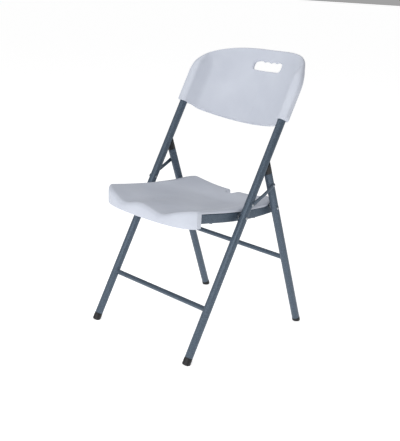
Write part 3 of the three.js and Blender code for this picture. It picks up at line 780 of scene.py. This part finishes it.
def blow_moulded():
    """Blow-moulded polyethylene: an even pale grey with the fine pebbled grain of a blasted mould,
    which spreads its gloss, and a faint cloudiness where the wall is thin. The grain, some 0.4 mm
    on the real thing, is drawn 1.6 mm wide, which is as fine as shows."""
    material = new_material("pale blow-moulded polyethylene")
    place = add_node(material, "ShaderNodeTexCoord").outputs["Object"]
    grain = add_node(
        material,
        "ShaderNodeTexNoise",
        Vector=place,
        Scale=1 / (1.6 * MM),
        Detail=3.0,
        Roughness=0.6,
    )
    cloud = add_node(material, "ShaderNodeTexNoise", Vector=place, Scale=1 / (90 * MM), Detail=2.0)
    tint = add_node(material, "ShaderNodeValToRGB", Fac=cloud.outputs["Fac"])
    tint.color_ramp.elements[0].position = 0.3
    tint.color_ramp.elements[0].color = linear("#BFC4D0")
    tint.color_ramp.elements[1].position = 0.7
    tint.color_ramp.elements[1].color = linear("#C6CBD6")
    gloss = add_node(
        material, "ShaderNodeMapRange", Value=grain.outputs["Fac"], To_Min=0.42, To_Max=0.56
    )
    bump = add_node(
        material, "ShaderNodeBump", Height=grain.outputs["Fac"], Strength=0.35, Distance=0.08 * MM
    )
    plastic = add_node(
        material,
        "ShaderNodeBsdfPrincipled",
        Base_Color=tint.outputs["Color"],
        Roughness=gloss.outputs["Result"],
        Normal=bump.outputs["Normal"],
        IOR=1.51,
    )
    add_node(material, "ShaderNodeOutputMaterial", Surface=plastic.outputs[0])
    return material


pale_plastic = blow_moulded()


def distance_to(line, x, y):
    """Distance of each point from a line of points."""
    nearest = np.full(x.shape, np.inf)
    for (ax, ay), (bx, by) in zip(line[:-1], line[1:]):
        dx, dy = bx - ax, by - ay
        share = np.clip(((x - ax) * dx + (y - ay) * dy) / (dx * dx + dy * dy), 0, 1)
        nearest = np.minimum(nearest, np.hypot(x - ax - share * dx, y - ay - share * dy))
    return nearest


def inside_of(line, x, y):
    """Whether each point lies within a closed line of points."""
    inside = np.zeros(x.shape, bool)
    for (ax, ay), (bx, by) in zip(line[:-1], line[1:]):
        if ay != by:
            inside ^= ((ay > y) != (by > y)) & (x < (bx - ax) * (y - ay) / (by - ay) + ax)
    return inside


def rolled(distance, radius):
    """How far a rounded edge has dropped at a distance in from the edge."""
    short = np.clip(1 - distance / radius, 0, 1)
    return radius * (1 - np.sqrt(1 - short**2))


def eased(value, start, end):
    """Goes smoothly from 0 at the start to 1 at the end."""
    t = np.clip((value - start) / (end - start), 0, 1)
    return t * t * (3 - 2 * t)


def blended_low(a, b, width):
    """The lower of two heights, with a soft join."""
    return np.minimum(a, b) - np.maximum(width - np.abs(a - b), 0) ** 2 / (4 * width)


def bezier(points, steps=10):
    """Points along a cubic Bezier curve, without its last."""
    a, b, c, d = (np.array(point) for point in points)
    t = np.linspace(0, 1, steps, endpoint=False)[:, None]
    return (1 - t) ** 3 * a + 3 * (1 - t) ** 2 * t * b + 3 * (1 - t) * t**2 * c + t**3 * d


def moulded_shell(columns, rows, plan, faces, upright):
    """A closed moulding from two grids laid over one plan and joined round their rim.
    plan turns (-1..1, -1..1) into a place, and faces gives the two surfaces' heights there."""
    halves = []
    for face in (0, 1):
        bpy.ops.mesh.primitive_grid_add(x_subdivisions=columns, y_subdivisions=rows, size=2)
        sheet = bpy.context.object
        co = np.array([vertex.co for vertex in sheet.data.vertices])
        rim = np.abs(co[:, :2]).max(axis=1) > 0.9999
        # the rim is one cell wide and has no width in the plan
        u = np.clip(co[:, 0] * columns / (columns - 2), -1, 1)
        v = np.clip(co[:, 1] * rows / (rows - 2), -1, 1)
        x, y = plan(u, v)
        heights = faces(x, y)
        height = np.where(rim, (heights[0] + heights[1]) / 2, heights[face])
        shaped = np.column_stack([x, height, y] if upright else [x, y, height])
        sheet.data.vertices.foreach_set("co", shaped.ravel())
        halves.append(sheet)
    pick(halves[0])
    halves[1].select_set(True)
    bpy.ops.object.join()
    bpy.ops.object.mode_set(mode="EDIT")
    bpy.ops.mesh.select_all(action="SELECT")
    bpy.ops.mesh.remove_doubles(threshold=0.004 * MM)
    bpy.ops.mesh.dissolve_degenerate(threshold=0.002 * MM)
    bpy.ops.mesh.normals_make_consistent(inside=False)
    bpy.ops.object.mode_set(mode="OBJECT")
    return halves[0]


def drill(piece, matrix, radius, start, end, sides=48):
    """Cuts a round hole along Z of the matrix."""
    bpy.ops.mesh.primitive_cylinder_add(vertices=sides, radius=radius, depth=end - start)
    bit = bpy.context.object
    bit.matrix_world = matrix @ Matrix.Translation((0, 0, (start + end) / 2))
    apply_place(bit)
    cut_with(piece, bit)


to_front_frame = np.array(front_frame.inverted())
back_points = np.array([vertex.co for vertex in frame["nodes"]["back_panel"].data.vertices])
back_points = back_points @ to_front_frame[:3, :3].T + to_front_frame[:3, 3]
BACK_HALF_WIDTH = back_points[:, 0].max()
BACK_BOTTOM = back_points[:, 2].min()
BACK_TOP = back_points[:, 2].max()
BACK_THICKNESS = 13 * MM
BACK_DEPTH = back_points[:, 1].max() - BACK_THICKNESS
SHOULDER = BACK_TOP - 150 * MM  # where the straight sides start to round into the top
BOW_HALF_WIDTH = 203 * MM
BOW_EDGE_DEPTH = 9 * MM
FLANGE_SLOPE = 0.405
BACK_RIM = 6.5 * MM
SLEEVE_RADIUS = 16.5 * MM
SLEEVE_OUTWARD = BACK_HALF_WIDTH - LEG_X
SLEEVE_FADE_START = BACK_TOP - 122 * MM
SLEEVE_FADE_LENGTH = 42 * MM
SLEEVE_FADE_DEPTH = 20 * MM
SLEEVE_STEEPEST = 0.93  # how far round the sleeve goes before it runs out as a draft
SLEEVE_DRAFT = 2.5
SLEEVE_END_ROLL = 2.2 * MM
SLEEVE_FRONT_BLEND = 22 * MM
SLEEVE_BACK_BLEND = 3 * MM
FLANGE_BLEND = 4 * MM
SLOT_HALF_WIDTH = 59 * MM
SLOT_LOW = BACK_TOP - 77 * MM
SLOT_HIGH = BACK_TOP - 46 * MM
SLOT_CORNER = 9 * MM
SLOT_ROLL = 4 * MM
FINGERS = 4
FINGER_DEPTH = 4 * MM
FINGER_STEPS = 12

bow_rise = BACK_DEPTH - BOW_EDGE_DEPTH
bow_radius = (BOW_HALF_WIDTH**2 + bow_rise**2) / (2 * bow_rise)


def back_top_edge(x):
    """An arch, flatter in the middle than a circle's, that meets the sides upright."""
    across_share = np.clip(np.abs(x) / BACK_HALF_WIDTH, 0, 1)
    return SHOULDER + (BACK_TOP - SHOULDER) * (1 - across_share**2.6) ** 0.526


def back_bottom_edge(x):
    """The lower edge: rounded corners, with the sleeves a little longer than the sheet is."""
    corner = 11 * MM
    past = np.clip(np.abs(x) - (BACK_HALF_WIDTH - corner), 0, corner)
    sleeve_end = 6 * MM * eased(np.abs(x), BOW_HALF_WIDTH - 30 * MM, BOW_HALF_WIDTH)
    return BACK_BOTTOM - 1.5 * MM + sleeve_end + corner - np.sqrt(corner**2 - past**2)


arch_x = BACK_HALF_WIDTH * np.sin(np.linspace(-math.pi / 2, math.pi / 2, 161))
back_outline = [(-BACK_HALF_WIDTH, BACK_BOTTOM)]
back_outline += list(zip(arch_x, back_top_edge(arch_x)))
back_outline += [(BACK_HALF_WIDTH, BACK_BOTTOM)]

finger = 2 * (SLOT_HALF_WIDTH - SLOT_CORNER) / FINGERS
slot_right = SLOT_HALF_WIDTH - SLOT_CORNER
slot_outline = []
for x_sign, y_edge, start_angle in ((-1, SLOT_LOW, 180), (1, SLOT_LOW, 270), (1, SLOT_HIGH, 0)):
    inward = SLOT_CORNER if y_edge == SLOT_LOW else -SLOT_CORNER
    for i in range(9):
        angle = math.radians(start_angle + i * 90 / 8)
        slot_outline.append(
            (
                x_sign * slot_right + SLOT_CORNER * math.cos(angle),
                y_edge + inward + SLOT_CORNER * math.sin(angle),
            )
        )
for i in range(1, FINGERS * FINGER_STEPS + 1):
    share = i / FINGER_STEPS
    hollow = FINGER_DEPTH * abs(math.sin(math.pi * share)) ** 0.8
    slot_outline.append((slot_right - share * finger, SLOT_HIGH + hollow))
for i in range(1, 9):
    angle = math.radians(90 + i * 90 / 8)
    slot_outline.append(
        (
            -slot_right + SLOT_CORNER * math.cos(angle),
            SLOT_HIGH - SLOT_CORNER + SLOT_CORNER * math.sin(angle),
        )
    )
slot_outline.append(slot_outline[0])


def back_plan(u, v):
    """Spreads the grid over the outline, closer together at its edges."""
    x = BACK_HALF_WIDTH * (0.35 * u + 0.65 * np.sin(math.pi / 2 * u))
    share = 0.4 * (v + 1) / 2 + 0.6 * (1 + np.sin(math.pi / 2 * v)) / 2
    low = back_bottom_edge(x)
    return x, low + (back_top_edge(x) - low) * share


def back_faces(x, s):
    """The front and back surfaces, square to the legs, at a place across and along them."""
    away = np.abs(x)
    flange = BOW_EDGE_DEPTH - FLANGE_SLOPE * (away - BOW_HALF_WIDTH)
    centre = BACK_DEPTH - bow_radius
    bow_front = centre + np.sqrt(bow_radius**2 - away**2)
    bow_back = centre + np.sqrt((bow_radius + BACK_THICKNESS) ** 2 - away**2)
    front = -blended_low(-bow_front, -flange, FLANGE_BLEND)
    back = -blended_low(-bow_back, -(flange + BACK_THICKNESS), FLANGE_BLEND)
    edge = distance_to(back_outline, x, s)
    above = s - back_bottom_edge(x)
    roll = rolled(np.minimum(edge, above), BACK_RIM) / BACK_RIM
    # a slight land runs round the slot inside its rolled edge
    slot_gap = np.where(inside_of(slot_outline, x, s), 0, distance_to(slot_outline, x, s))
    slot_roll = rolled(slot_gap, SLOT_ROLL)
    half = (back - front) / 2
    front, back = front + half * roll + slot_roll, back - half * roll - slot_roll
    # the sleeve stands out of the sheet as a round swelling with some draft
    reach = np.maximum(1 - edge / SLEEVE_OUTWARD, (LEG_X - away) / SLEEVE_RADIUS)
    past_steepest = np.maximum(reach - SLEEVE_STEEPEST, 0)
    swell = np.sqrt(1 - np.clip(reach, 0, SLEEVE_STEEPEST) ** 2) - past_steepest * SLEEVE_DRAFT
    outer = np.sqrt(np.clip(1 - np.clip(reach, 0, 1) ** 2, 0, 1))
    swell = np.where(away > LEG_X, outer, swell) * SLEEVE_RADIUS
    swell -= SLEEVE_FADE_DEPTH * (np.maximum(s - SLEEVE_FADE_START, 0) / SLEEVE_FADE_LENGTH) ** 2
    swell -= rolled(above, SLEEVE_END_ROLL)
    front = blended_low(front, -swell, SLEEVE_FRONT_BLEND)
    back = -blended_low(-back, -swell, SLEEVE_BACK_BLEND)
    at_edge = edge < 0.001 * MM
    middle_line = (front + back) / 2
    return np.where(at_edge, middle_line, front), np.where(at_edge, middle_line, back)


back_panel = moulded_shell(220, 120, back_plan, back_faces, upright=True)
SLOT_CUT = (40 * MM, 130 * MM)  # from ahead of the panel to behind it
cut_with(back_panel, prism(slot_outline, *SLOT_CUT, upright=True))
TUBE_PLAY = 0.3 * MM
SOCKET_START = 0.5  # along the leg, below the sleeves
SCREW_HOLE_RADIUS = 2.8 * MM
SCREW_HEAD_RADIUS = 5.2 * MM
SCREW_SEAT = 15.7 * MM
BLOW_HOLE_RADIUS = 3 * MM
OUT_OF_THE_BACK = 40 * MM
for side in SIDES.values():
    leg = Matrix.Translation((side * LEG_X, 0, 0))
    drill(back_panel, leg, TUBE_RADIUS + TUBE_PLAY, SOCKET_START, front_end + TUBE_PLAY, 72)
backwards = Matrix.Rotation(-math.pi / 2, 4, "X")
for number in (1, 2, 3, 4):
    screw_place = front_frame.inverted() @ middle("back_screw_%d" % number)
    hole = Matrix.Translation((screw_place.x, 0, screw_place.z)) @ backwards
    drill(back_panel, hole, SCREW_HOLE_RADIUS, 5 * MM, OUT_OF_THE_BACK, 24)
    drill(back_panel, hole, SCREW_HEAD_RADIUS, SCREW_SEAT, OUT_OF_THE_BACK, 40)
blow_hole = Matrix.Translation((0, 0, BACK_BOTTOM + 40 * MM)) @ backwards
blow_start = BACK_DEPTH + 4 * MM
drill(back_panel, blow_hole, BLOW_HOLE_RADIUS, blow_start, BACK_DEPTH + OUT_OF_THE_BACK, 24)
# the cuts leave a few slivers, which are closed
pick(back_panel)
bpy.ops.object.mode_set(mode="EDIT")
bpy.ops.mesh.select_all(action="SELECT")
bpy.ops.mesh.remove_doubles(threshold=0.002 * MM)
bpy.ops.mesh.fill_holes(sides=12)
bpy.ops.object.mode_set(mode="OBJECT")
back_panel.matrix_world = front_frame
MOULDING_SMOOTH = 32
done(
    back_panel,
    "back_moulding",
    "front_frame",
    pale_plastic,
    ["back_panel"],
    smooth=MOULDING_SMOOTH,
)

# ---------------------------------------------------------------- seat panel
# The same polyethylene, blow-moulded into a saddle: high at the sides and the
# front, dipped for the thighs, with a deep apron in front, a lip that sits on
# each rail, and a notch at the back for a hand when it is folded and carried.
SEAT_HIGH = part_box("seat_panel")[1]
seat_front_y = front_foot.y  # heights and depths below are measured from the front feet
SEAT_HALF_WIDTH = SEAT_HIGH[0]
SEAT_REAR = SEAT_HIGH[1] - seat_front_y
seat_points = np.array([vertex.co for vertex in frame["nodes"]["seat_panel"].data.vertices])
APRON_BOTTOM = seat_points[seat_points[:, 1] < RAIL_LOW[1]][:, 2].min()
SEAT_THICKNESS = 14 * MM
APRON_THICKNESS = 13 * MM
SEAT_SIDE_ROLL = 7 * MM
SEAT_FRONT_ROLL = 17 * MM
SEAT_UNDER_ROLL = 2.5 * MM
SEAT_ROLL_BLEND = 3 * MM
APRON_ROLL = 3 * MM
NOTCH_HALF_WIDTH = 15 * MM
NOTCH_BOTTOM = SEAT_REAR - 32 * MM
NOTCH_SHOULDER = SEAT_REAR - 12 * MM
NOTCH_MOUTH = 26 * MM
FIT = 0.4 * MM
# The saddle, in millimetres. The crest is where the top turns over at each side;
# the dish runs up to it from the middle, and each thigh has a dip in front.
CREST_X, CREST_X_TAPER = 193, 33
CREST_HEIGHT, CREST_FRONT_RISE, CREST_REAR_RISE = 441, 18, 4
CREST_SIDE_FALL = 0.0065
DISH_HEIGHT, DISH_FRONT_RISE, DISH_REAR_RISE = 412, 42, 12
THIGH_X, THIGH_WIDTH, THIGH_DEPTH = 85, 50, 16


def seat_front_edge(x):
    """The front edge, bowed forwards in the middle, with corners that turn back."""
    across_share = np.abs(x) / SEAT_HALF_WIDTH
    return (-9 + 26 * across_share**2.6 + 21 * across_share**9) * MM


def seat_rear_edge(x):
    """The rear edge, nearly straight, with long round corners."""
    across_share = np.clip(np.abs(x) / SEAT_HALF_WIDTH, 0, 1)
    return SEAT_REAR - 82 * MM * (1 - (1 - across_share**3.6) ** 0.5)


def seat_plan(u, v):
    """Spreads the grid over the outline, closer together at its edges."""
    x = SEAT_HALF_WIDTH * (0.4 * u + 0.6 * np.sin(math.pi / 2 * u))
    share = 0.35 * (v + 1) / 2 + 0.65 * (1 + np.sin(math.pi / 2 * v)) / 2
    front = seat_front_edge(x)
    return x, front + (seat_rear_edge(x) - front) * share


edge_x = SEAT_HALF_WIDTH * np.sin(np.linspace(-math.pi / 2, math.pi / 2, 121))
seat_outline = list(zip(edge_x, seat_rear_edge(edge_x)))
seat_outline += list(zip(edge_x[::-1], seat_front_edge(edge_x[::-1])))
seat_outline.append(seat_outline[0])

notch_bottom = bezier(
    [
        (0, NOTCH_BOTTOM),
        (8 * MM, NOTCH_BOTTOM),
        (NOTCH_HALF_WIDTH - 1 * MM, NOTCH_BOTTOM),
        (NOTCH_HALF_WIDTH, NOTCH_SHOULDER),
    ],
    14,
)
notch_flare = bezier(
    [
        (NOTCH_HALF_WIDTH, NOTCH_SHOULDER),
        (NOTCH_HALF_WIDTH + 1 * MM, SEAT_REAR - 3 * MM),
        (NOTCH_HALF_WIDTH + 4 * MM, SEAT_REAR),
        (NOTCH_MOUTH, SEAT_REAR),
    ],
    10,
)
beyond_seat = [(NOTCH_MOUTH, SEAT_REAR), (NOTCH_MOUTH, SEAT_REAR + 20 * MM)]
right_side = np.vstack([notch_bottom, notch_flare, beyond_seat])
notch_outline = [tuple(point) for point in right_side] + [(-x, y) for x, y in right_side[:0:-1]]
notch_outline.append(notch_outline[0])
notch_outline_edge = [tuple(point) for point in right_side[:-1]]
notch_outline_edge = [(-x, y) for x, y in notch_outline_edge[::-1]] + notch_outline_edge[1:]

cross_middle = middle("seat_cross_tube")
cross_radius = (cross_high[2] - cross_low[2]) / 2 + FIT
cross_y = cross_middle.y - seat_front_y
rail_start = RAIL_LOW[1] - seat_front_y


def seat_faces(x, y):
    """The under and upper surfaces at a place across and back from the front feet."""
    away = np.abs(x) / MM
    back = y / MM
    crest_x = CREST_X - CREST_X_TAPER * eased(back, 120, 380)
    crest = CREST_HEIGHT + CREST_FRONT_RISE * (np.maximum(0, 230 - back) / 170) ** 1.4
    crest += CREST_REAR_RISE * eased(back, 290, 390)
    dish = DISH_HEIGHT + DISH_FRONT_RISE * (1 - eased(back, -60, 330))
    dish += DISH_REAR_RISE * eased(back, 300, 400)
    top = dish + (crest - dish) * np.minimum(1, away / crest_x) ** 3
    thigh_dip = np.exp(-(((away - THIGH_X) / THIGH_WIDTH) ** 2)) * (1 - eased(back, 0, 210))
    top -= THIGH_DEPTH * thigh_dip
    top -= CREST_SIDE_FALL * np.maximum(away - crest_x, 0) ** 2
    top *= MM
    from_front = y - seat_front_edge(x)
    under = top - SEAT_THICKNESS
    edge = distance_to(seat_outline, x, y)
    notch_gap = np.where(inside_of(notch_outline, x, y), 0, distance_to(notch_outline_edge, x, y))
    side_roll = rolled(np.minimum(edge, notch_gap), SEAT_SIDE_ROLL)
    front_roll = rolled(from_front, SEAT_FRONT_ROLL)
    top += blended_low(-side_roll, -front_roll, SEAT_ROLL_BLEND)
    on_rail = (np.abs(x) > RAIL_LOW[0] - FIT) & (y > rail_start - FIT)
    under = np.where(on_rail, rail_middle(y + seat_front_y) + RAIL_HEIGHT / 2 + FIT, under)
    groove = (np.abs(y - cross_y) < cross_radius) & (np.abs(x) < cross_high[0] + FIT)
    arch = cross_middle.z + np.sqrt(np.clip(cross_radius**2 - (y - cross_y) ** 2, 0, None))
    under = np.where(groove, np.maximum(under, arch), under)
    side_strip = (np.abs(x) > RAIL_LOW[0] - 4 * MM) & (y < rail_start - 2 * FIT)
    apron = (from_front < APRON_THICKNESS) | side_strip
    far_from_edge = 1.0
    apron_edge = np.minimum(edge, np.where(side_strip, far_from_edge, APRON_THICKNESS - from_front))
    apron_under = APRON_BOTTOM + rolled(np.maximum(apron_edge, 0), APRON_ROLL)
    under = np.where(apron, apron_under, under)
    under += np.where(apron, 0, rolled(np.minimum(edge, notch_gap), SEAT_UNDER_ROLL))
    return np.minimum(under, top - 1 * MM), top


seat_moulding = moulded_shell(190, 170, seat_plan, seat_faces, upright=False)
NOTCH_CUT = (0.38, 0.5)  # from below the seat to above it
cut_with(seat_moulding, prism(notch_outline, *NOTCH_CUT))
seat_moulding.location.y = seat_front_y
done(
    seat_moulding,
    "seat_moulding",
    "seat",
    pale_plastic,
    ["seat_panel"],
    smooth=MOULDING_SMOOTH,
)

# ---------------------------------------------------------------- screws
# Zinc-plated pan-head screws with a cross recess: two through each sleeve into
# the leg, and two up through each rail into the seat.


PAN_RADIUS = 4.5 * MM
PAN_ROUND = 1.6 * MM
SHANK_RADIUS = 2.2 * MM
SHANK_POINT = 2 * MM


def pan_screw(head_height, length):
    """A screw along Z: the head's top at zero, its shank downwards."""
    profile = [(0, 0)]
    for i in range(1, 8):
        angle = i / 7 * math.pi / 2
        profile.append(
            (
                (PAN_RADIUS - PAN_ROUND) + PAN_ROUND * math.sin(angle),
                -0.25 * MM - (head_height - 0.6 * MM) * (1 - math.cos(angle)),
            )
        )
    profile += [(PAN_RADIUS, -head_height), (SHANK_RADIUS, -head_height)]
    profile += [(SHANK_RADIUS, -length + SHANK_POINT), (0, -length)]
    screw = turn_profile(profile, 36)
    for turn in (0, math.pi / 2):
        bpy.ops.mesh.primitive_cube_add(size=1, rotation=(0, 0, turn))
        blade = bpy.context.object
        blade.scale = (0.95 * MM, 4.6 * MM, 2.6 * MM)
        apply_place(blade)
        cut_with(screw, blade)
    return screw


BACK_HEAD_HEIGHT = 2.2 * MM
BACK_SCREW_LENGTH = 11 * MM
SEAT_HEAD_HEIGHT = 2.0 * MM
upside_down = Matrix.Rotation(math.pi, 4, "X")
for number in (1, 2, 3, 4):
    node = "back_screw_%d" % number
    place = front_frame.inverted() @ middle(node)
    screw = pan_screw(BACK_HEAD_HEIGHT, BACK_SCREW_LENGTH)
    cad_points = [vertex.co for vertex in frame["nodes"][node].data.vertices]
    head_top = max((front_frame.inverted() @ point).y for point in cad_points)
    screw.matrix_world = front_frame @ Matrix.Translation((place.x, head_top, place.z)) @ backwards
    done(screw, "back_pan_screw_%d" % number, "front_frame", zinc, [node])
    node = "seat_screw_%d" % number
    low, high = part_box(node)
    screw = pan_screw(SEAT_HEAD_HEIGHT, high[2] - low[2])
    screw.matrix_world = Matrix.Translation((middle(node).x, middle(node).y, low[2])) @ upside_down
    done(screw, "seat_pan_screw_%d" % number, "seat", zinc, [node])
